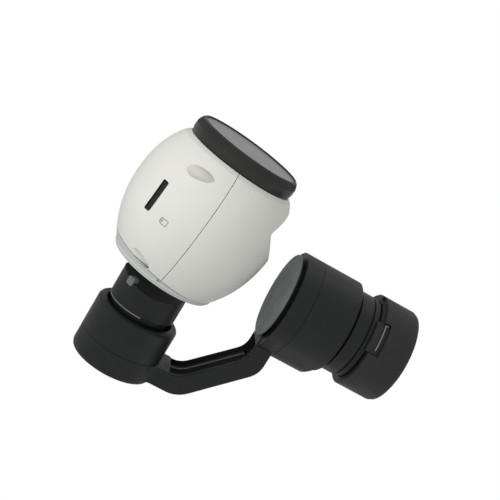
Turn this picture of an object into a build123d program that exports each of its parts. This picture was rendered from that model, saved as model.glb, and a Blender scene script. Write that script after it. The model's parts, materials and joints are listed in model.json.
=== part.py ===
from build123d import *
import os
from math import cos, radians, sin, tan

# A three-axis camera gimbal for a drone. Millimetres, +Z up. The origin is the centre of the
# mount's top face, Z is the yaw axis, the lens looks towards -Y and the card slot is on the +X side.

os.makedirs("parts", exist_ok=True)

# ---- driving dimensions ----

# quick-release mount and its lock ring
plug_radius = 13.0
plug_height = 7.5
hub_radius = 14.1
ring_radius = 18.2
ring_wall = 2.0
ring_height = 15.0
ring_lip = 2.0
ring_gap = 0.35
neck_radius = 15.9
lug_count = 3
lug_arc = 50
notch_start = -46
notch_arc = 40
notch_height = 3.7
notch_floor = 17.0

# yaw motor housing
housing_radius = 18.15
housing_bore = 16.3
housing_top = -24.35
seam_z = -40.7
cover_radius = 16.35
cover_z = -49.4
cover_thickness = 1.5
cover_edge = 0.5
cover_boss = 12.0
cover_seat = 14.0
rim_z = -47.4
saddle_radius = 21.3
saddle_round = 12.0

# rear arm, seen from the side: a root, a 44 degree run and a vertical end
arm_width = 15.0
arm_thickness = 7.3
arm_back = 50.5
arm_top = -41.2
arm_bend_high = 28.0
arm_bend_low = -63.0
bend_radius = 8.0
channel_width = 13.0
channel_depth = 2.6
channel_low = -69.6
channel_root = 18.7
rail_end = 26.6

# roll motor
roll_z = -89.6
cup_radius = 15.8
cup_front = 30.1
cup_seam = 43.1
cup_back = 52.0
cup_bore = 14.0
cup_mouth = 13.0
roll_neck_radius = 12.7
roll_neck_end = 27.9
roll_tube_radius = 11.4
bar_front = 21.3
roll_arm_seam = 26.6
swing_radius = 32.7
bumper_angle = -45
bumper_size = 3.1

# pitch motor, on the far side of the camera
pitch_y = -13.0
pitch_z = roll_z
side_flat = -25.4
hub_outer = 13.2
hub_bore = 11.7
side_inner = -27.4
side_outer = -33.8
hub_end = -36.0
bar_height = 14.0

# camera barrel, along the lens axis, which is tilted up at rest
lens_tilt = 5.59
lens_front = (0, -40.9, -84.7)
shell_wall = 1.6
shell_seam = -1.35
shell_front = 6.35
shell_rear = 52.3
barrel_outline = [(6.3, 21.2), (13.5, 25.5), (27.5, 27.9), (40.0, 26.3), (52.3, 20.5)]
filter_radius = 20.4
filter_nose = 19.5
filter_bulge = 20.65
filter_depth = 6.0
glass_radius = 18.75
glass_start = 0.5
glass_end = 2.7

# memory card and its slot
card_size = (15.0, 11.0, 1.0)
slot_length = 12.0
slot_height = 2.0
slot_t = 28.1
slot_w = -19.15

# running parts
shaft_play = 0.02
air_gap = 0.4

# ---- planes and axes ----

side_plane = Plane.XZ
roll_axis = Axis((0, 0, roll_z), (0, 1, 0))
roll_side = Plane(origin=(0, 0, roll_z), x_dir=(0, 1, 0), z_dir=(1, 0, 0))
roll_face = Plane(origin=(0, 0, roll_z), x_dir=(1, 0, 0), z_dir=(0, -1, 0))
pitch_axis = Axis((0, pitch_y, pitch_z), (1, 0, 0))
pitch_side = Plane(origin=(0, pitch_y, pitch_z), x_dir=(1, 0, 0), z_dir=(0, -1, 0))
pitch_face = Plane(origin=(0, pitch_y, pitch_z), x_dir=(0, 1, 0), z_dir=(1, 0, 0))
yaw_face = Plane(origin=(0, 0, 0), x_dir=(1, 0, 0), z_dir=(0, 0, -1))

tilt = radians(lens_tilt)
lens_back = Vector(0, cos(tilt), -sin(tilt))
lens_up = Vector(0, sin(tilt), cos(tilt))
lens_axis = Axis(lens_front, lens_back)
# on this plane x runs back along the lens axis and y runs up
lens_side = Plane(origin=lens_front, x_dir=lens_back, z_dir=(1, 0, 0))
# on this plane x runs back along the lens axis and y runs to +X
seam_plane = Plane(origin=lens_front, x_dir=lens_back, z_dir=-lens_up)
# this plane faces forward: x is +X and y is up; its offset counts forward
lens_face = Plane(origin=lens_front, x_dir=(1, 0, 0), z_dir=-lens_back)
# the parting plane of the rear cover, which leans so that its skirt is deepest underneath
rear_lean = 0.1
rear_seam = Plane(origin=Vector(*lens_front) + lens_back * 51.4, x_dir=(1, 0, 0),
                  z_dir=lens_back - lens_up * rear_lean)


# ---- helpers ----

def save(piece, name):
    """Label a finished piece and write it as its own STEP file."""
    piece.part.label = name
    export_step(piece.part, f"parts/{name}.step")


def turn(plane, axis, points, mode=Mode.ADD):
    """Revolve a closed outline about an axis that lies in its plane."""
    with BuildSketch(plane) as outline:
        with BuildLine():
            Polyline(*points, close=True)
        make_face()
    revolve(outline.sketch, axis=axis, mode=mode)


def disc(plane, outer, inner, depth, mode=Mode.ADD):
    """A disc, or a flat ring when inner is above zero, standing on a plane."""
    with BuildSketch(plane) as outline:
        Circle(outer)
        if inner > 0:
            Circle(inner, mode=Mode.SUBTRACT)
    extrude(outline.sketch, amount=depth, mode=mode)


def arc_band(plane, outer, inner, start, sweep, depth, mode=Mode.ADD):
    """Part of a flat ring, from start through sweep degrees, standing on a plane."""
    with BuildSketch(plane) as outline:
        with BuildLine():
            CenterArc((0, 0), outer, start, sweep)
            CenterArc((0, 0), inner, start, sweep)
            Line((inner * cos(radians(start)), inner * sin(radians(start))),
                 (outer * cos(radians(start)), outer * sin(radians(start))))
            end = radians(start + sweep)
            Line((inner * cos(end), inner * sin(end)), (outer * cos(end), outer * sin(end)))
        make_face()
    extrude(outline.sketch, amount=depth, mode=mode)


def screws(plane, radius, count, head, depth, start=0):
    """Small socket screws in a circle: a head on the plane and a shank below it."""
    with BuildSketch(plane) as heads:
        with PolarLocations(radius, count, start):
            Circle(head)
            RegularPolygon(head * 0.5, 6, mode=Mode.SUBTRACT)
    extrude(heads.sketch, amount=head * 0.8)
    with BuildSketch(plane) as shanks:
        with PolarLocations(radius, count, start):
            Circle(head * 0.55)
    extrude(shanks.sketch, amount=-depth)


def motor(name, face, start, height, hub, core, magnet, teeth):
    """The stator core, its coils and the rotor's magnets of one brushless motor."""
    shoe = core * 0.1
    yoke = hub + core * 0.16
    tooth_width = core * 0.15
    tooth_end = core - shoe
    coil_over = 0.8
    coil_start = yoke + 0.3
    coil_length = tooth_end - coil_start - 0.2
    coil_middle = coil_start + coil_length / 2
    coil_width = min(tooth_width + 1.8, 2 * coil_start * sin(radians(180 / teeth)) - 0.2)

    with BuildPart() as stator_core:
        with BuildSketch(face.offset(start)) as lamination:
            Circle(core)
            Circle(tooth_end, mode=Mode.SUBTRACT)
            with PolarLocations(core - shoe / 2, teeth, 180 / teeth):
                Rectangle(shoe * 1.6, shoe, mode=Mode.SUBTRACT)
            with PolarLocations((yoke + tooth_end) / 2, teeth):
                Rectangle(tooth_end - yoke + shoe, tooth_width)
            Circle(yoke)
            Circle(hub, mode=Mode.SUBTRACT)
        extrude(lamination.sketch, amount=height)
    save(stator_core, f"{name}_stator_core")

    with BuildPart() as windings:
        with BuildSketch(face.offset(start - coil_over)) as coils:
            with PolarLocations(coil_middle, teeth):
                Rectangle(coil_length, coil_width)
        extrude(coils.sketch, amount=height + 2 * coil_over)
        with BuildSketch(face.offset(start)) as tooth_holes:
            with PolarLocations(coil_middle, teeth):
                Rectangle(coil_length + shoe, tooth_width)
        extrude(tooth_holes.sketch, amount=height, mode=Mode.SUBTRACT)
    save(windings, f"{name}_windings")

    magnet_inner = core + air_gap
    poles = teeth + 2
    with BuildPart() as magnets:
        with BuildSketch(face.offset(start)) as ring:
            Circle(magnet_inner + magnet)
            Circle(magnet_inner, mode=Mode.SUBTRACT)
            with PolarLocations(magnet_inner + magnet / 2, poles):
                Rectangle(magnet * 2, 0.5, mode=Mode.SUBTRACT)
        extrude(ring.sketch, amount=height)
    save(magnets, f"{name}_magnets")


def bearing_pair(name, face, outer, bore, height, starts):
    """Two ball bearings of one size on one shaft, each as a plain ring."""
    with BuildPart() as bearings:
        for start in starts:
            disc(face.offset(start), outer, bore, height)
    save(bearings, f"{name}_bearings")


# ---- mount, fixed to the aircraft ----

neck_foot = -26.6
bearing_bore = 4.0
shoulder_z = -ring_height - 0.7
groove_z = -17.9
gap_radius = 15.0
retainer_base = -ring_height + ring_lip + 0.3
plug_screw_circle = 9.3
plug_screw_head = 1.5

with BuildPart() as mount_base:
    turn(side_plane, Axis.Z, [
        (bearing_bore, -42.0), (5.5, -42.0), (5.5, neck_foot), (neck_radius, neck_foot),
        (neck_radius, -24.9), (gap_radius, -24.9), (gap_radius, -23.4), (neck_radius, -23.1),
        (neck_radius, groove_z - 0.3), (neck_radius - 0.6, groove_z - 0.1),
        (neck_radius - 0.6, groove_z + 0.1), (neck_radius, groove_z + 0.3),
        (neck_radius, shoulder_z), (hub_radius, shoulder_z), (hub_radius, retainer_base),
        (13.2, retainer_base), (13.2, -plug_height), (12.2, -plug_height), (12.2, -24.6),
        (5.5, -24.6), (5.5, -22.5), (bearing_bore, -22.5),
    ])
    # standoffs that take the plug's screws
    with BuildSketch(Plane.XY.offset(-24.6)) as standoffs:
        with PolarLocations(plug_screw_circle, 4, 45):
            Circle(1.9)
    extrude(standoffs.sketch, amount=15.1)
    with BuildSketch(Plane.XY.offset(-9.5)) as pilots:
        with PolarLocations(plug_screw_circle, 4, 45):
            Circle(plug_screw_head * 0.55)
    extrude(pilots.sketch, amount=-4.0, mode=Mode.SUBTRACT)
save(mount_base, "mount_base")

with BuildPart() as mount_plug:
    turn(side_plane, Axis.Z, [
        (0, 0), (plug_radius - 0.2, 0), (plug_radius, -0.2), (plug_radius, -plug_height),
        (12.1, -plug_height), (12.1, -9.5), (0, -9.5),
    ])
    with BuildSketch(Plane.XY) as pad_pocket:
        Rectangle(13.2, 5.2)
    extrude(pad_pocket.sketch, amount=-0.6, mode=Mode.SUBTRACT)
    with BuildSketch(Plane.XY) as screw_wells:
        with PolarLocations(plug_screw_circle, 4, 45):
            Circle(1.7)
    extrude(screw_wells.sketch, amount=-1.8, mode=Mode.SUBTRACT)
    with BuildSketch(Plane.XY) as screw_holes:
        with PolarLocations(plug_screw_circle, 4, 45):
            Circle(plug_screw_head * 0.55)
    extrude(screw_holes.sketch, amount=-12, mode=Mode.SUBTRACT)
save(mount_plug, "mount_plug")

with BuildPart() as contact_pads:
    with BuildSketch(Plane.XY.offset(-0.6)) as pads:
        with GridLocations(3.1, 2.6, 4, 2):
            RectangleRounded(2.2, 1.8, 0.3)
    extrude(pads.sketch, amount=0.5)
save(contact_pads, "contact_pads")

with BuildPart() as mount_screws:
    screws(Plane.XY.offset(-1.8), plug_screw_circle, 4, plug_screw_head, 11.0, 45)
save(mount_screws, "mount_screws")

with BuildPart() as ring_retainer:
    disc(Plane.XY.offset(retainer_base), 15.6, 13.2, 1.2)
save(ring_retainer, "ring_retainer")

with BuildPart() as yaw_board:
    disc(Plane.XY.offset(-21.6), 11.9, 5.9, 1.2)
    with BuildSketch(Plane.XY.offset(-20.4)) as chips:
        with PolarLocations(9.0, 4):
            Rectangle(2.6, 3.4)
    extrude(chips.sketch, amount=0.9)
    with BuildSketch(Plane.XY.offset(-21.6)) as standoff_holes:
        with PolarLocations(plug_screw_circle, 4, 45):
            Circle(2.1)
    extrude(standoff_holes.sketch, amount=2.5, mode=Mode.SUBTRACT)
save(yaw_board, "yaw_board")

motor("yaw", yaw_face, 30.0, 9.0, 5.5, 13.6, 1.2, 12)
bearing_pair("yaw", Plane.XY, bearing_bore, 2.0, 3.0, [-41.6, -26.0])

# ---- lock ring, which turns on the mount ----

ring_bore = ring_radius - ring_wall

with BuildPart() as lock_ring:
    turn(side_plane, Axis.Z, [
        (hub_radius + ring_gap, -ring_height), (ring_radius - 0.3, -ring_height),
        (ring_radius, -ring_height + 0.3), (ring_radius, -1.8), (ring_radius - 0.55, -0.5),
        (ring_radius - 1.5, 0), (ring_bore, 0), (ring_bore, -ring_height + ring_lip),
        (hub_radius + ring_gap, -ring_height + ring_lip),
    ])
    for lug in range(lug_count):
        arc_band(Plane.XY.offset(-2.6), ring_bore + 0.5, 14.6, lug * 360 / lug_count, lug_arc, 1.8)
    # the notch for the detent spring, with a skirt below it, and the lower edge beside it
    arc_band(Plane.XY.offset(-ring_height), ring_radius + 1, notch_floor, notch_start, notch_arc,
             notch_height, mode=Mode.SUBTRACT)
    arc_band(Plane.XY.offset(-ring_height - 1.2), notch_floor, ring_bore, notch_start, notch_arc,
             1.4)
    arc_band(Plane.XY.offset(-ring_height), ring_radius + 1, ring_bore + 0.4, notch_start - 50, 50,
             1.0, mode=Mode.SUBTRACT)
save(lock_ring, "lock_ring")

with BuildPart() as detent_spring:
    arc_band(Plane.XY.offset(-13.2), notch_floor + 0.4, notch_floor, notch_start + 1,
             notch_arc - 6, 0.4)
    arc_band(Plane.XY.offset(-13.2), notch_floor + 0.4, notch_floor, notch_start + 1, 1.6, 1.2)
save(detent_spring, "detent_spring")

# ---- yaw body: motor housing, rear arm and roll motor case ----


def housing_plan(plane, height):
    """The motor housing's outline seen along Z: round, drawn out towards the arm."""
    with BuildSketch(plane) as plan:
        Circle(housing_radius)
        with Locations((0, saddle_radius - saddle_round)):
            Circle(saddle_round)
        make_hull()
    extrude(plan.sketch, amount=height)


with BuildPart() as yaw_housing:
    housing_plan(Plane.XY.offset(seam_z), housing_top - seam_z)
    # the drawn-out side slopes in to the step around the neck
    turn(side_plane, Axis.Z, [
        (housing_bore, seam_z), (saddle_radius, seam_z), (saddle_radius, -28.6),
        (housing_radius, -25.4), (housing_radius, housing_top - 0.5),
        (housing_radius - 0.5, housing_top), (housing_bore, housing_top),
    ], mode=Mode.INTERSECT)
    turn(side_plane, Axis.Z, [
        (housing_bore + 1, seam_z), (saddle_radius + 1, seam_z),
        (saddle_radius + 1, seam_z + 0.12), (housing_bore + 1, seam_z + 0.12),
    ], mode=Mode.SUBTRACT)
save(yaw_housing, "yaw_housing")

with BuildPart() as yaw_flux_ring:
    disc(Plane.XY.offset(-39.5), housing_bore, 15.2, 10.0)
save(yaw_flux_ring, "yaw_flux_ring")

half_bend = radians(22.05)
root_bottom = arm_top - arm_thickness + 0.5
inner_high = arm_bend_high - arm_thickness * tan(half_bend)
inner_face = arm_back - arm_thickness
inner_low = arm_bend_low - arm_thickness * tan(half_bend)
arm_root = 14.0


def inner_bends(depth):
    """The low and high bends of the arm's inner face, moved into the arm, seen from the side."""
    share = depth / arm_thickness
    low = (inner_face + depth, inner_low + share * (arm_bend_low - inner_low))
    high = (inner_high + share * (arm_bend_high - inner_high),
            root_bottom + share * (arm_top - root_bottom))
    return low, high


def channel_layer(deep, shallow, width, end, mode=Mode.ADD):
    """A strip along the arm's inner face between two depths, from the foot up to a given y."""
    lines = []
    for depth in (deep, shallow):
        low, high = inner_bends(depth)
        lines.append([(low[0], channel_low), low, high, (arm_root, high[1])])
    with BuildSketch(Plane.YZ.offset(-width / 2)) as strip:
        with BuildLine():
            Polyline(*lines[0], *reversed(lines[1]), close=True)
        make_face()
        for depth in (deep, shallow):
            for bend in inner_bends(depth):
                fillet(strip.vertices().sort_by_distance(bend)[0], bend_radius + depth)
        with Locations((end - arm_back / 2, arm_bend_low)):
            Rectangle(arm_back, arm_back, mode=Mode.SUBTRACT)
    extrude(strip.sketch, amount=width, mode=mode)


with BuildPart() as yaw_arm:
    with BuildSketch(Plane.YZ.offset(-arm_width / 2)) as side:
        with BuildLine():
            Polyline((arm_root, root_bottom), (inner_high, root_bottom), (inner_face, inner_low),
                     (inner_face, roll_z), (arm_back, roll_z), (arm_back, arm_bend_low),
                     (arm_bend_high, arm_top), (arm_root, arm_top), close=True)
        make_face()
        for corner, radius in (((inner_high, root_bottom), bend_radius),
                               ((inner_face, inner_low), bend_radius),
                               ((arm_back, arm_bend_low), 11), ((arm_bend_high, arm_top), 9)):
            fillet(side.vertices().sort_by_distance(corner)[0], radius)
    extrude(amount=arm_width)
    fillet(yaw_arm.faces().filter_by(Axis.X).edges(), 0.8)
    # the vertical end widens smoothly into the roll motor's back shell
    with BuildSketch(roll_face.offset(-cup_seam)) as spoon:
        Circle(cup_radius)
        with Locations((0, cup_radius / 2 + 1)):
            Rectangle(arm_width, cup_radius + 6)
        corner_height = (cup_radius ** 2 - (arm_width / 2) ** 2) ** 0.5
        for corner_x in (-arm_width / 2, arm_width / 2):
            fillet(spoon.vertices().sort_by_distance((corner_x, corner_height))[0], 8)
    extrude(amount=-(arm_back - cup_seam - 0.5))
    turn(roll_side, roll_axis, [
        (cup_seam, 0), (cup_seam, cup_radius), (cup_back - 1.4, cup_radius),
        (cup_back - 0.4, cup_radius - 0.4), (cup_back, cup_radius - 1.4), (cup_back, 0),
    ])
    turn(roll_side, roll_axis, [
        (cup_seam - 1, 0), (cup_seam - 1, 13.8), (48.8, 13.8), (48.8, 11.0), (50.2, 11.0),
        (50.2, 12.6), (cup_back + 1, 12.6), (cup_back + 1, 0),
    ], mode=Mode.SUBTRACT)
    # the lower ring of the yaw housing, and the seat that holds the round cover clear of it
    housing_plan(Plane.XY.offset(rim_z), seam_z - rim_z)
    disc(Plane.XY.offset(cover_z + cover_edge + 0.05), cover_seat, 0, rim_z - cover_z)
    turn(side_plane, Axis.Z, [
        (5.0, seam_z + 1), (5.0, -43.2), (4.0, -44.2), (4.0, -45.2), (housing_bore, -45.2),
        (housing_bore, seam_z + 1),
    ], mode=Mode.SUBTRACT)
    disc(Plane.XY.offset(-43.2), 5.5, 0, 4, mode=Mode.SUBTRACT)
    disc(Plane.XY.offset(cover_z), cover_boss + 0.05, 0, cover_thickness, mode=Mode.SUBTRACT)
    disc(Plane.XY.offset(cover_z), 1.98, 0, 8, mode=Mode.SUBTRACT)
    # the channel for the flat cable, cut along the inner face from the foot to the housing
    channel_layer(channel_depth, -4, channel_width, channel_root, mode=Mode.SUBTRACT)
save(yaw_arm, "yaw_arm")

cable_top = channel_depth - 0.4
strip_top = cable_top - 0.7

with BuildPart() as arm_cable:
    channel_layer(channel_depth, cable_top, 9.0, rail_end)
save(arm_cable, "arm_cable")

with BuildPart() as arm_rail:
    channel_layer(cable_top, strip_top, channel_width - 0.2, rail_end)
    channel_layer(strip_top, 0.3, 0.9, rail_end)
save(arm_rail, "arm_rail")

with BuildPart() as yaw_cover:
    turn(side_plane, Axis.Z, [
        (0, cover_z + cover_thickness), (cover_boss, cover_z + cover_thickness),
        (cover_boss, cover_z + cover_edge), (cover_radius, cover_z + cover_edge),
        (cover_radius, cover_z + 0.2), (cover_radius - 0.2, cover_z), (0, cover_z),
    ])
save(yaw_cover, "yaw_cover")

with BuildPart() as yaw_shaft:
    disc(Plane.XY.offset(-47.5), bearing_bore / 2 - shaft_play, 0, 24.6)
save(yaw_shaft, "yaw_shaft")

with BuildPart() as roll_cup:
    with BuildSketch(roll_side) as cup_wall:
        with BuildLine():
            Polyline((cup_front + 2.0, cup_bore), (cup_seam, cup_bore),
                     (cup_seam, cup_radius - 0.3), (cup_seam - 0.15, cup_radius - 0.3),
                     (cup_seam - 0.15, cup_radius), (cup_front + 1.6, cup_radius))
            ThreePointArc((cup_front + 1.6, cup_radius), (cup_front + 0.9, cup_radius - 0.2),
                          (cup_front + 0.4, cup_radius - 0.7))
            Polyline((cup_front + 0.4, cup_radius - 0.7), (cup_front, cup_radius - 1.3),
                     (cup_front, cup_mouth), (cup_front + 2.0, cup_mouth),
                     (cup_front + 2.0, cup_bore))
        make_face()
    revolve(cup_wall.sketch, axis=roll_axis)
save(roll_cup, "roll_cup")

roll_tube = 3.6
small_bore = 3.0

with BuildPart() as roll_end_cap:
    turn(roll_side, roll_axis, [
        (50.3, small_bore), (50.3, 0), (cup_back - 0.3, 0), (cup_back - 0.3, 12.0),
        (cup_back - 0.8, 12.5), (50.2, 12.5), (50.2, 6.0), (44.4, 6.0), (44.4, roll_tube),
        (35.2, roll_tube), (35.2, small_bore),
    ])
    with BuildSketch(roll_face.offset(-cup_back)) as wells:
        with PolarLocations(10.2, 3, 90):
            Circle(1.25)
    extrude(wells.sketch, amount=1.0, mode=Mode.SUBTRACT)
save(roll_end_cap, "roll_end_cap")

with BuildPart() as roll_cap_screws:
    with BuildSketch(roll_face.offset(-cup_back + 1.0)) as heads:
        with PolarLocations(10.2, 3, 90):
            Circle(1.15)
            RegularPolygon(0.6, 6, mode=Mode.SUBTRACT)
    extrude(heads.sketch, amount=-0.6)
save(roll_cap_screws, "roll_cap_screws")

motor("roll", roll_face, -43.4, 6.6, roll_tube, 10.2, 1.0, 9)
bearing_pair("roll", roll_face, small_bore, 1.5, 2.0, [-37.4, -46.0])

# ---- roll body: neck, side arm and pitch motor case ----

small_shaft = 1.5 - shaft_play
bell_outer = 12.9
bell_inner = 10.2 + air_gap + 1.0

with BuildPart() as roll_rotor:
    turn(roll_side, roll_axis, [
        (roll_arm_seam, 9.5), (roll_arm_seam, roll_neck_radius),
        (roll_neck_end - 0.2, roll_neck_radius), (roll_neck_end, roll_neck_radius - 0.2),
        (roll_neck_end, roll_tube_radius), (34.0, roll_tube_radius),
        (34.0, bell_outer), (44.6, bell_outer), (44.6, bell_inner), (34.4, bell_inner),
        (34.4, small_shaft), (31.4, small_shaft), (31.4, 9.5),
    ])
save(roll_rotor, "roll_rotor")

with BuildPart() as roll_shaft:
    disc(roll_face.offset(-47.2), small_shaft, 0, 16.4)
save(roll_shaft, "roll_shaft")

with BuildPart() as neck_snap_ring:
    arc_band(roll_face.offset(-roll_neck_end - 0.4), roll_neck_radius, roll_tube_radius, 92, 268,
             0.4)
save(neck_snap_ring, "neck_snap_ring")

side_cover_plane = Plane(origin=(side_outer, 9.0, roll_z), x_dir=(0, 1, 0), z_dir=(-1, 0, 0))
bumper_foot = 10.6
bumper_plane = Plane(origin=(0, 0, roll_z), x_dir=(0, 1, 0),
                     z_dir=(cos(radians(bumper_angle)), 0,
                            sin(radians(bumper_angle)))).offset(bumper_foot)
bumper_y = 18.8

with BuildPart() as roll_arm:
    # the neck's front is hollowed to the path of the camera's rear edge
    disc(roll_face.offset(-roll_arm_seam), roll_neck_radius, 0, 10.0)
    disc(pitch_face.offset(-15), swing_radius, 0, 30, mode=Mode.SUBTRACT)
    with BuildSketch(Plane.XY.offset(roll_z - bar_height / 2)) as plan:
        with BuildLine():
            Polyline((-4, bar_front), (side_inner, bar_front), (side_inner, pitch_y),
                     (side_outer, pitch_y), (side_outer, roll_arm_seam), (-4, roll_arm_seam),
                     close=True)
        make_face()
        fillet(plan.vertices().sort_by_distance((side_outer, roll_arm_seam))[0], 9)
        fillet(plan.vertices().sort_by_distance((side_inner, bar_front))[0], 4)
    extrude(plan.sketch, amount=bar_height)
    fillet(roll_arm.faces().filter_by(Axis.Z).edges().filter_by(
        lambda edge: edge.center().X < -14), 1.2)
    disc(pitch_face.offset(hub_end), hub_outer, 0, side_inner - hub_end + 0.8)
    disc(pitch_face.offset(hub_end - 1), hub_bore, 0, 12, mode=Mode.SUBTRACT)
    disc(roll_face.offset(-roll_arm_seam), 9.5, 0, 2.2, mode=Mode.SUBTRACT)
    # the cable channel under the side cover
    with BuildSketch(side_cover_plane) as side_channel:
        Rectangle(14.0, 8.0)
    extrude(side_channel.sketch, amount=-2.4, mode=Mode.SUBTRACT)
    with BuildSketch(bumper_plane) as bumper_seat:
        with Locations((bumper_y, 0)):
            RectangleRounded(bumper_size, bumper_size, 0.8)
    extrude(bumper_seat.sketch, amount=5, mode=Mode.SUBTRACT)
save(roll_arm, "roll_arm")

with BuildPart() as roll_arm_cover:
    with BuildSketch(side_cover_plane) as plate:
        RectangleRounded(15.6, 10.0, 2.0)
    extrude(plate.sketch, amount=0.9)
    with BuildSketch(side_cover_plane) as plug:
        Rectangle(13.6, 7.6)
    extrude(plug.sketch, amount=-1.0)
save(roll_arm_cover, "roll_arm_cover")

with BuildPart() as tilt_bumper:
    with BuildSketch(bumper_plane) as pad:
        with Locations((bumper_y, 0)):
            RectangleRounded(bumper_size, bumper_size, 0.8)
    extrude(pad.sketch, amount=roll_neck_radius + 0.25 - bumper_foot)
save(tilt_bumper, "tilt_bumper")

plate_back = hub_end + 1.4

with BuildPart() as pitch_base:
    turn(pitch_side, pitch_axis, [
        (hub_end, 0), (hub_end, hub_bore), (plate_back, hub_bore), (plate_back, roll_tube),
        (-27.8, roll_tube), (-27.8, small_bore), (hub_end + 1.0, small_bore), (hub_end + 1.0, 0),
    ])
save(pitch_base, "pitch_base")

with BuildPart() as pitch_cap:
    turn(pitch_side, pitch_axis, [
        (hub_end, 0), (hub_end, hub_outer), (hub_end - 1.0, hub_outer),
        (hub_end - 1.7, hub_outer - 0.7), (hub_end - 1.9, hub_outer - 1.8), (hub_end - 1.9, 0),
    ])
    with BuildSketch(pitch_face.offset(hub_end - 1.9)) as wells:
        with PolarLocations(10.2, 3, 90):
            Circle(1.25)
    extrude(wells.sketch, amount=1.0, mode=Mode.SUBTRACT)
save(pitch_cap, "pitch_cap")

with BuildPart() as pitch_cap_screws:
    with BuildSketch(pitch_face.offset(hub_end - 0.9)) as heads:
        with PolarLocations(10.2, 3, 90):
            Circle(1.15)
            RegularPolygon(0.6, 6, mode=Mode.SUBTRACT)
    extrude(heads.sketch, amount=-0.6)
save(pitch_cap_screws, "pitch_cap_screws")

motor("pitch", pitch_face, -33.6, 5.0, roll_tube, 9.0, 0.9, 9)
bearing_pair("pitch", pitch_face, small_bore, 1.5, 2.0, [-34.8, -29.8])

# ---- camera body ----

pitch_bell_outer = 11.2
pitch_bell_inner = 9.0 + air_gap + 0.9
rotor_face = side_flat - 0.2

with BuildPart() as pitch_rotor:
    turn(pitch_side, pitch_axis, [
        (-22.6, small_shaft), (-22.6, 6.3), (rotor_face, 6.3), (rotor_face, pitch_bell_outer),
        (-34.2, pitch_bell_outer), (-34.2, pitch_bell_inner), (-27.0, pitch_bell_inner),
        (-27.0, small_shaft),
    ])
save(pitch_rotor, "pitch_rotor")

with BuildPart() as pitch_shaft:
    disc(pitch_face.offset(-34.9), small_shaft, 0, 12.3)
save(pitch_shaft, "pitch_shaft")

# each screw post's place along and across the barrel, and the radius of its pocket
posts = [(13.5, 22.0, 2.25), (49.0, 19.2, 1.85)]
post_radius = 3.1
pocket_end = -6.8
well_radius = 1.75
well_depth = 1.5
scoop_outline = [(4.0, 26.5), (17.2, 19.8), (30.0, 28.5), (30.0, 40.0), (4.0, 40.0)]
deck_plane = Plane(origin=lens_front, x_dir=(1, 0, 0), z_dir=lens_up)


def barrel_solid(inset):
    """The whole barrel as a solid, set in by a wall."""
    outline = [(t, radius - inset) for t, radius in barrel_outline]
    with BuildSketch(seam_plane) as section:
        with BuildLine():
            Spline(*outline)
            Polyline(outline[-1], (outline[-1][0], 0), (outline[0][0], 0), outline[0])
        make_face()
    revolve(section.sketch, axis=lens_axis)


def barrel_half(inset, side):
    """The barrel above (1) or below (-1) the shells' seam."""
    barrel_solid(inset)
    with BuildSketch(deck_plane.offset(shell_seam)) as other_half:
        with Locations((0, 30)):
            Rectangle(90, 90)
    extrude(other_half.sketch, amount=-side * 45, mode=Mode.SUBTRACT)


def trim_ends(front, rear):
    """Keep the barrel between two planes square to the lens axis and ahead of the rear seam."""
    with BuildSketch(lens_face) as wide:
        Circle(40)
    extrude(wide.sketch, amount=-front, mode=Mode.SUBTRACT)
    with BuildSketch(lens_face.offset(-rear)) as wide_rear:
        Circle(40)
    extrude(wide_rear.sketch, amount=-10, mode=Mode.SUBTRACT)
    with BuildSketch(rear_seam.offset(-0.2)) as leaning:
        Circle(40)
    extrude(leaning.sketch, amount=10, mode=Mode.SUBTRACT)


def scoop(wall, near_end):
    """The groove across the top of the barrel, with its floor moved in by a wall."""
    with BuildSketch(lens_side.offset(-30)) as groove:
        with BuildLine():
            Polyline(*scoop_outline, close=True)
        make_face()
        fillet(groove.vertices().sort_by_distance(scoop_outline[1])[0], 2)
        if wall:
            offset(amount=wall)
    extrude(groove.sketch, amount=30 + near_end, mode=Mode.SUBTRACT)


def shell_half(side):
    """One hollow half of the barrel with its screw posts."""
    with BuildPart() as cavity:
        barrel_half(shell_wall, side)
        scoop(shell_wall, 30)
        with BuildSketch(deck_plane.offset(-30)) as columns:
            for post_t, post_x, _ in posts:
                with Locations((post_x, post_t), (-post_x, post_t)):
                    Circle(post_radius)
        extrude(columns.sketch, amount=60, mode=Mode.SUBTRACT)
        with BuildSketch(pitch_face.offset(-30)) as flat_wall:
            Circle(40)
        extrude(flat_wall.sketch, amount=30 + side_flat + shell_wall, mode=Mode.SUBTRACT)
    return cavity.part


def cut_shell(side):
    """Cut the hollow, the motor's flat and hole and the seam from a solid half."""
    add(shell_half(side), mode=Mode.SUBTRACT)
    trim_ends(shell_front, shell_rear - 0.1)
    scoop(0, 30)
    # the bevelled front edge
    turn(lens_side, lens_axis, [(6.2, 20.47), (6.2, 24), (7.8, 24), (7.8, 22.55)],
         mode=Mode.SUBTRACT)
    with BuildSketch(pitch_face.offset(-30)) as flat_side:
        Circle(40)
    extrude(flat_side.sketch, amount=30 + side_flat, mode=Mode.SUBTRACT)
    disc(pitch_face.offset(-30), 7.0, 0, 12, mode=Mode.SUBTRACT)
    with BuildSketch(deck_plane.offset(shell_seam - 0.1)) as seam_gap:
        with Locations((0, 30)):
            Rectangle(80, 80)
    extrude(seam_gap.sketch, amount=0.2, mode=Mode.SUBTRACT)


def post_cut(radius, start, depth):
    """Round cuts along all four screw posts, parallel to the shells' parting direction."""
    with BuildSketch(deck_plane.offset(start)) as holes:
        for post_t, post_x, _ in posts:
            with Locations((post_x, post_t), (-post_x, post_t)):
                Circle(radius)
    extrude(holes.sketch, amount=depth, mode=Mode.SUBTRACT)


def pocket_cut():
    """The open pockets from the underside up to the screw heads."""
    with BuildSketch(deck_plane.offset(-32)) as pockets:
        for post_t, post_x, pocket_radius in posts:
            with Locations((post_x, post_t), (-post_x, post_t)):
                Circle(pocket_radius)
    extrude(pockets.sketch, amount=32 + pocket_end, mode=Mode.SUBTRACT)


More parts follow.
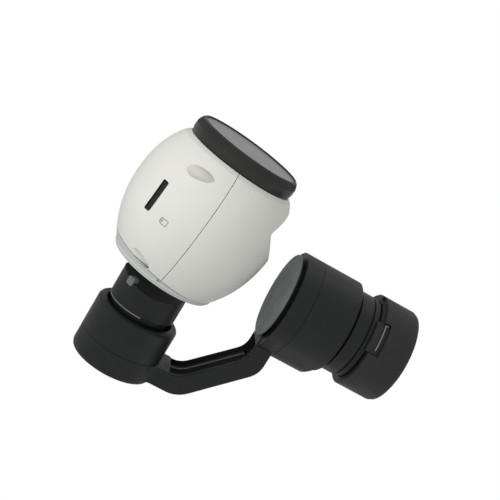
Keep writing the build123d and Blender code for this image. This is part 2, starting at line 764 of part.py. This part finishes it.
with BuildPart() as lower_shell:
    barrel_half(0, -1)
    cut_shell(-1)
    pocket_cut()
    post_cut(well_radius, pocket_end, well_depth)
    post_cut(0.8, pocket_end - 1, 10)
    with BuildSketch(lens_side) as slot:
        with Locations((slot_t, slot_w)):
            RectangleRounded(slot_length, slot_height, 0.5)
    extrude(slot.sketch, amount=30, mode=Mode.SUBTRACT)
save(lower_shell, "lower_shell")

with BuildPart() as upper_shell:
    barrel_half(0, 1)
    cut_shell(1)
    post_cut(0.8, shell_seam - 1, 8)
save(upper_shell, "upper_shell")

with BuildPart() as shell_screws:
    for post_t, post_x, _ in posts:
        for screw_x in (-post_x, post_x):
            with BuildSketch(deck_plane.offset(pocket_end + well_depth)) as head:
                with Locations((screw_x, post_t)):
                    Circle(1.6)
                    RegularPolygon(0.75, 6, mode=Mode.SUBTRACT)
            extrude(head.sketch, amount=-1.2)
            with BuildSketch(deck_plane.offset(pocket_end + well_depth)) as shank:
                with Locations((screw_x, post_t)):
                    Circle(0.8)
            extrude(shank.sketch, amount=5 - pocket_end - well_depth)
save(shell_screws, "shell_screws")

bezel_nose = 18.2
bezel_flange = shell_front + 0.7

with BuildPart() as front_collar:
    disc(lens_face.offset(-bezel_flange + 0.1), 19.45, 18.4, 0.5)
save(front_collar, "front_collar")

cover_floor = 51.6

with BuildPart() as rear_cover:
    # the skirt carries on the barrel's outline behind the leaning seam
    barrel_solid(0)
    with BuildSketch(rear_seam) as ahead:
        Circle(60)
    extrude(ahead.sketch, amount=-60, mode=Mode.SUBTRACT)
    turn(lens_side, lens_axis, [
        (40, 0), (40, 20), (49.0, 20.6), (50.6, 19.6), (cover_floor, 18.6), (cover_floor, 0),
    ], mode=Mode.SUBTRACT)
    turn(lens_side, lens_axis, [
        (shell_rear, 0), (shell_rear, barrel_outline[-1][1]),
        (shell_rear + 0.7, barrel_outline[-1][1]), (53.4, 19.9), (53.9, 19.8), (53.9, 19.0),
        (53.5, 18.6), (53.5, 0),
    ])
    pocket_cut()
    with BuildSketch(lens_side.offset(19.9)) as pry_slot:
        with Locations((51.4, -1.9)):
            RectangleRounded(1.6, 1.4, 0.3)
    extrude(pry_slot.sketch, amount=4, mode=Mode.SUBTRACT)
    with BuildSketch(lens_face.offset(-53.6)) as vents:
        with GridLocations(2.6, 0, 7, 1):
            SlotOverall(13, 1.2, rotation=90)
    extrude(vents.sketch, amount=2.5, mode=Mode.SUBTRACT)
save(rear_cover, "rear_cover")

with BuildPart() as lens_bezel:
    turn(lens_side, lens_axis, [
        (3.4, 15.6), (3.4, bezel_nose), (bezel_flange, bezel_nose), (bezel_flange, 19.4),
        (9.4, 19.4), (9.4, 14.1), (8.6, 14.1), (8.6, 15.6),
    ])
save(lens_bezel, "lens_bezel")

with BuildPart() as lens_barrel:
    turn(lens_side, lens_axis, [
        (4.2, 12.2), (4.2, 14.0), (30.5, 14.0), (30.5, 8.0), (28.5, 8.0), (28.5, 11.0),
        (8.2, 11.0), (6.8, 12.2),
    ])
save(lens_barrel, "lens_barrel")

with BuildPart() as lens_elements:
    for start, depth, radius in ((8.6, 2.6, 11.0), (14.5, 2.0, 11.0), (22.0, 3.0, 11.0)):
        disc(lens_face.offset(-start - depth), radius, 0, depth)
save(lens_elements, "lens_elements")

with BuildPart() as camera_frame:
    disc(lens_face.offset(-36.5), 16.2, 14.05, 26.4)
    with BuildSketch(pitch_face.offset(-22.4)) as side_pad:
        Circle(6.3)
    extrude(side_pad.sketch, amount=12)
    disc(lens_face.offset(-36.5), 14.05, 0, 32, mode=Mode.SUBTRACT)
save(camera_frame, "camera_frame")

with BuildPart() as image_sensor:
    with BuildSketch(lens_face.offset(-34.6)) as sensor:
        Rectangle(8.6, 7.4)
    extrude(sensor.sketch, amount=1.2)
save(image_sensor, "image_sensor")

with BuildPart() as sensor_board:
    disc(lens_face.offset(-35.8), 13.9, 0, 1.2)
save(sensor_board, "sensor_board")

with BuildPart() as main_board:
    disc(lens_face.offset(-40.6), 15.6, 0, 1.4)
    with BuildSketch(lens_face.offset(-39.2)) as processors:
        with GridLocations(10, 10, 2, 2):
            Rectangle(7, 7)
    extrude(processors.sketch, amount=1.3)
save(main_board, "main_board")

with BuildPart() as heat_sink:
    disc(lens_face.offset(-43.2), 14.8, 0, 2.0)
    with BuildSketch(lens_face.offset(-50.8)) as fins:
        with GridLocations(3.0, 0, 7, 1):
            Rectangle(1.0, 20.0)
    extrude(fins.sketch, amount=7.6)
save(heat_sink, "heat_sink")

card_end = 19.2
card_start = card_end - card_size[0]

with BuildPart() as card_socket:
    with BuildSketch(lens_side.offset(card_start - 1.6)) as case:
        with Locations((slot_t, slot_w)):
            Rectangle(13.6, 2.2)
    extrude(case.sketch, amount=13.2)
    with BuildSketch(lens_side.offset(card_start - 0.3)) as card_space:
        with Locations((slot_t, slot_w)):
            Rectangle(card_size[1] + 0.4, card_size[2] + 0.3)
    extrude(card_space.sketch, amount=20, mode=Mode.SUBTRACT)
save(card_socket, "card_socket")

# ---- memory card ----

with BuildPart() as memory_card:
    with BuildSketch(lens_side.offset(card_start)) as card:
        with Locations((slot_t, slot_w)):
            Rectangle(card_size[1], card_size[2])
    extrude(card.sketch, amount=card_size[0])
save(memory_card, "memory_card")

# ---- screw-on filter ----

with BuildPart() as filter_ring:
    with BuildSketch(lens_side) as rim:
        with BuildLine():
            ThreePointArc((0.25, filter_nose), (2.6, filter_bulge), (filter_depth, filter_radius))
            Polyline((filter_depth, filter_radius), (filter_depth, bezel_nose + 0.3),
                     (glass_end + 0.5, bezel_nose + 0.3), (glass_end + 0.5, bezel_nose - 0.4),
                     (glass_end, bezel_nose - 0.4), (glass_end, glass_radius + 0.05),
                     (0, glass_radius + 0.05), (0, filter_nose - 0.2), (0.25, filter_nose))
        make_face()
    revolve(rim.sketch, axis=lens_axis)
save(filter_ring, "filter_ring")

with BuildPart() as filter_glass:
    disc(lens_face.offset(-glass_end), glass_radius, 0, glass_end - glass_start)
save(filter_glass, "filter_glass")
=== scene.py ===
import json
import math

import bmesh
import bpy
from mathutils import Matrix, Vector
from mathutils.bvhtree import BVHTree


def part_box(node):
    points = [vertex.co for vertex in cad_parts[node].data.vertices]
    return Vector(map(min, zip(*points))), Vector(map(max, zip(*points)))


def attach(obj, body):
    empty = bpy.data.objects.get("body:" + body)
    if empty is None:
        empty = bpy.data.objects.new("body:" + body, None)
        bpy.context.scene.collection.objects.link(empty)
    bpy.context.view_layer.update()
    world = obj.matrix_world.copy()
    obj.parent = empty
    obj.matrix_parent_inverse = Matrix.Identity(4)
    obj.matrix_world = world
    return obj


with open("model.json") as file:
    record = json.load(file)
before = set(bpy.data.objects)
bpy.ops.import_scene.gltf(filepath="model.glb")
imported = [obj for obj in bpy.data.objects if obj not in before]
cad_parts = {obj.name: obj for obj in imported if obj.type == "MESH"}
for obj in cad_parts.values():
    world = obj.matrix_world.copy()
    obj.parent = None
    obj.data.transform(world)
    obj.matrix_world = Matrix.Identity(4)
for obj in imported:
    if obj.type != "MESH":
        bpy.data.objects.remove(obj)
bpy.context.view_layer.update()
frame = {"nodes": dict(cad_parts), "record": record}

MM = 0.001

# finishes: noise scales are in features per metre
MOTTLE_SCALE = 55.0
SMUDGE_SCALE = 130.0
SCUFF_SCALE = 900.0
GRAIN_SCALE = 2600.0
GRAIN_STRENGTH = 0.06
GRAIN_DEPTH = 0.2 * MM
EDGE_RADIUS = 0.18 * MM
EDGE_START = 0.985
EDGE_FULL = 0.8
BRUSH_SCALE = 2400.0
BRUSH_STRETCH = 0.05
BRUSH_STRENGTH = 0.08
BRUSH_DEPTH = 0.1 * MM

# grip ribs of the screw-on filter, in millimetres: (behind the front face, crest radius)
RIB_COUNT = 100
RIB_PROFILE = ((0.3, 19.6), (0.55, 19.95), (1.5, 20.45), (2.6, 20.8), (2.95, 20.7))
RIB_HEIGHT = 0.3
RIB_SHARE = 0.44
RIB_CREST_SHARE = 0.6

# card symbol, in millimetres: outlines as (towards the rear, up) about their middles
CARD_OUTLINE = ((-1.0, -1.25), (0.5, -1.25), (1.0, -0.75), (1.0, 1.25), (-1.0, 1.25))
CARD_MIDDLE = (33.0, -12.7)
CONTACT_OUTLINE = ((-0.5, -0.2), (0.5, -0.2), (0.5, 0.2), (-0.5, 0.2))
CONTACT_MIDDLE = (32.9, -13.35)
LINE_HALF_WIDTH = 0.09
LINE_TOP = 0.02
LINE_BOTTOM = -0.05
LINE_STEP = 0.25
RAY_START = 40

# the filter's front face lies this far ahead of the glass's middle, in millimetres
FRONT_AHEAD = 1.6

# stage, in metres and watts
SURROUND_LIT = 0.48
SURROUND_SEEN = 1.0
FLOOR_RADIUS = 1.6
FLOOR_HEIGHT = -0.45
FLOOR_GLOW = 0.4
LIGHTS_AIM = (0.0, 0.0, -0.07)
LIGHTS = (
    # name, place, width, power, seen in gloss
    ("key", (0.23, -0.09, -0.32), 0.3, 0.7, False),
    ("top", (-0.25, 0.2, 0.3), 0.4, 0.5, False),
    ("ahead", (-0.12, -0.5, -0.04), 0.3, 0.16, True),
    ("fill", (0.15, 0.1, 0.4), 0.4, 0.37, False),
)

# camera, in metres, degrees and millimetres of film
CAMERA_PLACE = (0.34038, -0.08979, -0.13075)
CAMERA_AIM = (-0.01379, -0.00606, -0.06403)
CAMERA_ROLL = 118.984
CAMERA_LENS = 72.0
CAMERA_SENSOR = 36.0
CAMERA_NEAR = 0.01


# ---- materials ----

def shader(name):
    """A new node material, with its nodes, its links and its principled shader."""
    material = bpy.data.materials.new(name)
    material.use_nodes = True
    nodes = material.node_tree.nodes
    return material, nodes, material.node_tree.links, nodes["Principled BSDF"]


def object_noise(nodes, links, scale, detail=4.0, roughness=0.6):
    """Noise fixed to the piece's own coordinates."""
    place = nodes.new("ShaderNodeTexCoord")
    noise = nodes.new("ShaderNodeTexNoise")
    noise.inputs["Scale"].default_value = scale
    noise.inputs["Detail"].default_value = detail
    noise.inputs["Roughness"].default_value = roughness
    links.new(place.outputs["Object"], noise.inputs["Vector"])
    return noise


def ramp(nodes, links, source, low, high, start=0.35, end=0.65):
    """Map a factor onto two colours."""
    node = nodes.new("ShaderNodeValToRGB")
    node.color_ramp.elements[0].position = start
    node.color_ramp.elements[1].position = end
    node.color_ramp.elements[0].color = low
    node.color_ramp.elements[1].color = high
    links.new(source, node.inputs["Fac"])
    return node


def multiply(nodes, links, source):
    """A product node with its first factor linked."""
    node = nodes.new("ShaderNodeMath")
    node.operation = "MULTIPLY"
    links.new(source, node.inputs[0])
    return node


def grey(value):
    return (value, value, value, 1.0)


def shade(color, factor):
    return tuple(min(1.0, channel * factor) for channel in color[:3]) + (1.0,)


def worn_and_highlit_edges(nodes, links, rounding, wear_and_highlight):
    """How far an edge is lightened, partly as edge wear and partly as painted highlight: most
    where the surface turns sharply, broken up by scuffs.
    """
    geometry = nodes.new("ShaderNodeNewGeometry")
    align = nodes.new("ShaderNodeVectorMath")
    align.operation = "DOT_PRODUCT"
    links.new(rounding.outputs["Normal"], align.inputs[0])
    links.new(geometry.outputs["Normal"], align.inputs[1])
    edge = nodes.new("ShaderNodeMapRange")
    edge.inputs["From Min"].default_value = EDGE_START
    edge.inputs["From Max"].default_value = EDGE_FULL
    links.new(align.outputs["Value"], edge.inputs["Value"])
    scuffs = object_noise(nodes, links, SCUFF_SCALE, 6.0, 0.7)
    mask = ramp(nodes, links, scuffs.outputs["Fac"], grey(0.0), grey(1.0), 0.45, 0.7)
    worn_and_highlit = multiply(nodes, links, edge.outputs["Result"])
    links.new(mask.outputs["Color"], worn_and_highlit.inputs[1])
    amount = multiply(nodes, links, worn_and_highlit.outputs["Value"])
    amount.inputs[1].default_value = wear_and_highlight
    return amount


def moulded(name, color, rough, mottle=0.06, wear_and_highlight=0.25):
    """A painted or moulded satin surface: soft mottling, fine grain and lighter edges that are
    partly wear and partly painted highlight.
    """
    material, nodes, links, surface = shader(name)
    mottling = object_noise(nodes, links, MOTTLE_SCALE)
    base = ramp(nodes, links, mottling.outputs["Fac"],
                shade(color, 1 - mottle), shade(color, 1 + mottle))
    rounding = nodes.new("ShaderNodeBevel")
    rounding.inputs["Radius"].default_value = EDGE_RADIUS
    amount = worn_and_highlit_edges(nodes, links, rounding, wear_and_highlight)
    # edges blend towards a lighter colour: partly edge wear, partly painted edge highlight
    blend = nodes.new("ShaderNodeMix")
    blend.data_type = "RGBA"
    links.new(amount.outputs["Value"], blend.inputs["Factor"])
    links.new(base.outputs["Color"], blend.inputs["A"])
    is_pale = color[0] > 0.3
    blend.inputs["B"].default_value = shade(color, 1.6 if is_pale else 5.0)
    links.new(blend.outputs["Result"], surface.inputs["Base Color"])
    smudges = object_noise(nodes, links, SMUDGE_SCALE, 5.0)
    sheen = ramp(nodes, links, smudges.outputs["Fac"],
                 grey(rough * 0.86), grey(min(1, rough * 1.15)))
    links.new(sheen.outputs["Color"], surface.inputs["Roughness"])
    grain = object_noise(nodes, links, GRAIN_SCALE, 2.0)
    bump = nodes.new("ShaderNodeBump")
    bump.inputs["Strength"].default_value = GRAIN_STRENGTH
    bump.inputs["Distance"].default_value = GRAIN_DEPTH
    links.new(grain.outputs["Fac"], bump.inputs["Height"])
    links.new(rounding.outputs["Normal"], bump.inputs["Normal"])
    links.new(bump.outputs["Normal"], surface.inputs["Normal"])
    return material


def metal(name, color, rough, brush_axis=None):
    """Bare metal, brushed along an axis or bead blasted."""
    material, nodes, links, surface = shader(name)
    place = nodes.new("ShaderNodeTexCoord")
    stretch = nodes.new("ShaderNodeMapping")
    scale = [1.0, 1.0, 1.0]
    if brush_axis is not None:
        scale[brush_axis] = BRUSH_STRETCH
    stretch.inputs["Scale"].default_value = scale
    links.new(place.outputs["Object"], stretch.inputs["Vector"])
    noise = nodes.new("ShaderNodeTexNoise")
    noise.inputs["Scale"].default_value = BRUSH_SCALE
    noise.inputs["Detail"].default_value = 3.0
    links.new(stretch.outputs["Vector"], noise.inputs["Vector"])
    base = ramp(nodes, links, noise.outputs["Fac"], shade(color, 0.86), shade(color, 1.08))
    links.new(base.outputs["Color"], surface.inputs["Base Color"])
    polish = ramp(nodes, links, noise.outputs["Fac"], grey(rough * 0.8), grey(rough * 1.2))
    links.new(polish.outputs["Color"], surface.inputs["Roughness"])
    bump = nodes.new("ShaderNodeBump")
    bump.inputs["Strength"].default_value = BRUSH_STRENGTH
    bump.inputs["Distance"].default_value = BRUSH_DEPTH
    links.new(noise.outputs["Fac"], bump.inputs["Height"])
    links.new(bump.outputs["Normal"], surface.inputs["Normal"])
    surface.inputs["Metallic"].default_value = 1.0
    return material


def build_materials():
    """Every finish on the object, by the record's slot names."""
    black = (0.006, 0.0074, 0.007)
    rows = (
        # slot, kind, colour, roughness, the rest
        ("motor_black", moulded, black, 0.42, {}),
        ("arm_black", moulded, black, 0.46, {}),
        ("ring_black", moulded, (0.016, 0.0175, 0.016), 0.5, {}),
        ("plug_black", moulded, (0.015, 0.015, 0.015), 0.5, {}),
        ("trim_black", moulded, (0.012, 0.013, 0.013), 0.35, {}),
        ("cover_grey", moulded, (0.105, 0.135, 0.126), 0.5, {"mottle": 0.05}),
        ("shell_white", moulded, (0.75, 0.748, 0.7), 0.42, {"mottle": 0.015, "wear_and_highlight": 0.0}),
        ("shell_grey", moulded, (0.55, 0.58, 0.56), 0.4, {"mottle": 0.03, "wear_and_highlight": 0.2}),
        ("grey_plastic", moulded, (0.14, 0.15, 0.145), 0.5, {"mottle": 0.12}),
        ("lens_black", moulded, (0.01, 0.01, 0.01), 0.6, {}),
        ("filter_black", moulded, (0.02, 0.019, 0.018), 0.38, {}),
        # the filter glass is an opaque grey surface whose grey is painted reflection of the bright
        # surroundings
        ("filter_glass", moulded, (0.262, 0.266, 0.262), 0.3, {"mottle": 0.02, "wear_and_highlight": 0.0}),
        ("lens_glass", metal, (0.4, 0.45, 0.5), 0.1, {}),
        ("steel", metal, (0.42, 0.42, 0.4), 0.42, {"brush_axis": 2}),
        ("lamination", metal, (0.25, 0.25, 0.26), 0.45, {}),
        ("magnet", metal, (0.6, 0.61, 0.62), 0.3, {}),
        ("copper", metal, (0.66, 0.3, 0.14), 0.35, {}),
        ("contact_gold", metal, (0.83, 0.62, 0.25), 0.25, {}),
        ("aluminium", metal, (0.66, 0.67, 0.68), 0.42, {}),
        ("board", moulded, (0.02, 0.09, 0.04), 0.35, {}),
        ("sensor", moulded, (0.03, 0.02, 0.05), 0.15, {}),
        ("cable", moulded, (0.012, 0.012, 0.012), 0.35, {}),
        ("card_black", moulded, (0.013, 0.013, 0.013), 0.35, {}),
    )
    return {slot: make(slot, color, rough, **rest) for slot, make, color, rough, rest in rows}


def dress_nodes(finishes):
    """Give every CAD node the finish of its slot."""
    slots = {entry["node"]: entry["material_slot"] for entry in frame["record"]["subparts"]}
    for name, node in frame["nodes"].items():
        for index in range(len(node.material_slots)):
            node.material_slots[index].material = finishes[slots[name]]


# ---- small pieces that the CAD leaves out ----

def mesh_piece(name, bm, body, finish):
    """Turn a bmesh into a piece that rides on a body."""
    bmesh.ops.recalc_face_normals(bm, faces=bm.faces)
    mesh = bpy.data.meshes.new(name)
    bm.to_mesh(mesh)
    bm.free()
    mesh.materials.append(finish)
    piece = bpy.data.objects.new(name, mesh)
    bpy.context.scene.collection.objects.link(piece)
    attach(piece, body)


def loft(bm, rings, closed=False):
    """Skin rings of points into one closed solid, or a closed loop of them."""
    rows = [[bm.verts.new(point) for point in ring] for ring in rings]
    count = len(rows[0])
    pairs = list(zip(rows, rows[1:]))
    if closed:
        pairs.append((rows[-1], rows[0]))
    for first, second in pairs:
        for index in range(count):
            follow = (index + 1) % count
            bm.faces.new((first[index], first[follow], second[follow], second[index]))
    if not closed:
        bm.faces.new(rows[0])
        bm.faces.new(rows[-1])


def lens_frame():
    """The middle of the filter's front, the way to the rear and the way up, square to the lens."""
    low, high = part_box("filter_glass")
    joint = next(entry for entry in frame["record"]["behaviour"]["joints"]
                 if entry["name"] == "filter_off")
    back = -Vector(joint["axis"]).normalized()
    front = (Vector(low) + Vector(high)) / 2 - back * FRONT_AHEAD * MM
    return front, back, back.cross(Vector((-1, 0, 0))).normalized()


def build_knurl(front, back, up, finish):
    """Fine grip ribs around the front half of the screw-on filter's rim."""
    side = Vector((1, 0, 0))
    half_angle = math.pi / RIB_COUNT * RIB_SHARE
    bm = bmesh.new()
    for rib in range(RIB_COUNT):
        angle = 2 * math.pi * rib / RIB_COUNT
        rings = []
        for t, crest in RIB_PROFILE:
            root = crest - RIB_HEIGHT
            ring = []
            for share, radius in ((-1, root), (-RIB_CREST_SHARE, crest),
                                  (RIB_CREST_SHARE, crest), (1, root)):
                turn = angle + share * half_angle
                outward = side * math.cos(turn) + up * math.sin(turn)
                ring.append(front + (back * t + outward * radius) * MM)
            rings.append(ring)
        loft(bm, rings)
    mesh_piece("filter_knurl", bm, "filter", finish)


def build_card_mark(front, back, up, finish):
    """A thin-line outline of a card, printed on the shell beside the slot."""
    shell = frame["nodes"]["lower_shell"]
    tree = BVHTree.FromPolygons([vertex.co for vertex in shell.data.vertices],
                                [tuple(face.vertices) for face in shell.data.polygons])
    inward = Vector((-1, 0, 0))
    section = ((LINE_HALF_WIDTH, LINE_BOTTOM), (LINE_HALF_WIDTH, LINE_TOP),
               (-LINE_HALF_WIDTH, LINE_TOP), (-LINE_HALF_WIDTH, LINE_BOTTOM))
    bm = bmesh.new()
    for corners, (middle_t, middle_w) in ((CARD_OUTLINE, CARD_MIDDLE),
                                          (CONTACT_OUTLINE, CONTACT_MIDDLE)):
        rings = []
        for index, (t0, w0) in enumerate(corners):
            t1, w1 = corners[(index + 1) % len(corners)]
            steps = max(2, int(math.hypot(t1 - t0, w1 - w0) / LINE_STEP))
            for step in range(steps):
                share = step / steps
                t = t0 + (t1 - t0) * share
                w = w0 + (w1 - w0) * share
                ring = []
                for offset, lift in section:
                    scale = 1 + offset / math.hypot(t, w)
                    along = back * (middle_t + t * scale)
                    across = up * (middle_w + w * scale)
                    place = front + (along + across) * MM
                    place.x = RAY_START * MM
                    hit, normal, _, _ = tree.ray_cast(place, inward)
                    ring.append(hit + normal * lift * MM)
                rings.append(ring)
        loft(bm, rings, closed=True)
    mesh_piece("card_mark", bm, "camera", finish)


# ---- stage, lights and camera ----

def build_surround():
    """A white surround that lights the object more softly than it looks."""
    world = bpy.data.worlds.new("surround")
    bpy.context.scene.world = world
    world.use_nodes = True
    nodes = world.node_tree.nodes
    links = world.node_tree.links
    nodes["Background"].inputs["Color"].default_value = grey(1.0)
    ray = nodes.new("ShaderNodeLightPath")
    glow = nodes.new("ShaderNodeMapRange")
    glow.inputs["To Min"].default_value = SURROUND_LIT
    glow.inputs["To Max"].default_value = SURROUND_SEEN
    links.new(ray.outputs["Is Camera Ray"], glow.inputs["Value"])
    links.new(glow.outputs["Result"], nodes["Background"].inputs["Strength"])


def build_floor():
    """A round pale floor, well below the hanging gimbal and left out of its light."""
    mesh = bpy.data.meshes.new("floor")
    bm = bmesh.new()
    bmesh.ops.create_circle(bm, cap_ends=True, segments=128, radius=FLOOR_RADIUS)
    bm.to_mesh(mesh)
    bm.free()
    floor = bpy.data.objects.new("floor", mesh)
    floor.location = (0.0, 0.0, FLOOR_HEIGHT)
    floor.visible_diffuse = False
    floor.visible_glossy = False
    bpy.context.scene.collection.objects.link(floor)
    material, nodes, links, surface = shader("floor_paper")
    tone = object_noise(nodes, links, 3.0)
    base = ramp(nodes, links, tone.outputs["Fac"], grey(0.9), grey(0.94))
    links.new(base.outputs["Color"], surface.inputs["Base Color"])
    surface.inputs["Roughness"].default_value = 0.9
    surface.inputs["Emission Color"].default_value = grey(1.0)
    surface.inputs["Emission Strength"].default_value = FLOOR_GLOW
    mesh.materials.append(material)


def build_lights():
    """Four soft round lights, hidden from the camera."""
    aim = Vector(LIGHTS_AIM)
    for name, place, width, power, in_gloss in LIGHTS:
        data = bpy.data.lights.new(name, "AREA")
        data.shape = "DISK"
        data.size = width
        data.energy = power
        light = bpy.data.objects.new(name, data)
        bpy.context.scene.collection.objects.link(light)
        light.location = place
        light.visible_camera = False
        light.visible_glossy = in_gloss
        light.rotation_euler = (aim - Vector(place)).to_track_quat("-Z", "Y").to_euler()


def build_camera():
    """The view from the card side, slightly ahead and below, rolled onto its side."""
    data = bpy.data.cameras.new("view")
    data.sensor_width = CAMERA_SENSOR
    data.lens = CAMERA_LENS
    data.clip_start = CAMERA_NEAR
    camera = bpy.data.objects.new("view", data)
    bpy.context.scene.collection.objects.link(camera)
    place = Vector(CAMERA_PLACE)
    looking = (Vector(CAMERA_AIM) - place).normalized()
    level_right = looking.cross(Vector((0, 0, 1))).normalized()
    level_up = level_right.cross(looking)
    roll = math.radians(CAMERA_ROLL)
    right = level_right * math.cos(roll) + level_up * math.sin(roll)
    up = right.cross(looking)
    turn = Matrix((right, up, -looking)).transposed()
    camera.matrix_world = Matrix.Translation(place) @ turn.to_4x4()
    bpy.context.scene.camera = camera


finishes = build_materials()
dress_nodes(finishes)
lens_front, lens_back, lens_up = lens_frame()
build_knurl(lens_front, lens_back, lens_up, finishes["filter_black"])
build_card_mark(lens_front, lens_back, lens_up, finishes["trim_black"])
build_surround()
build_floor()
build_lights()
build_camera()
bpy.context.scene.view_settings.view_transform = "Standard"
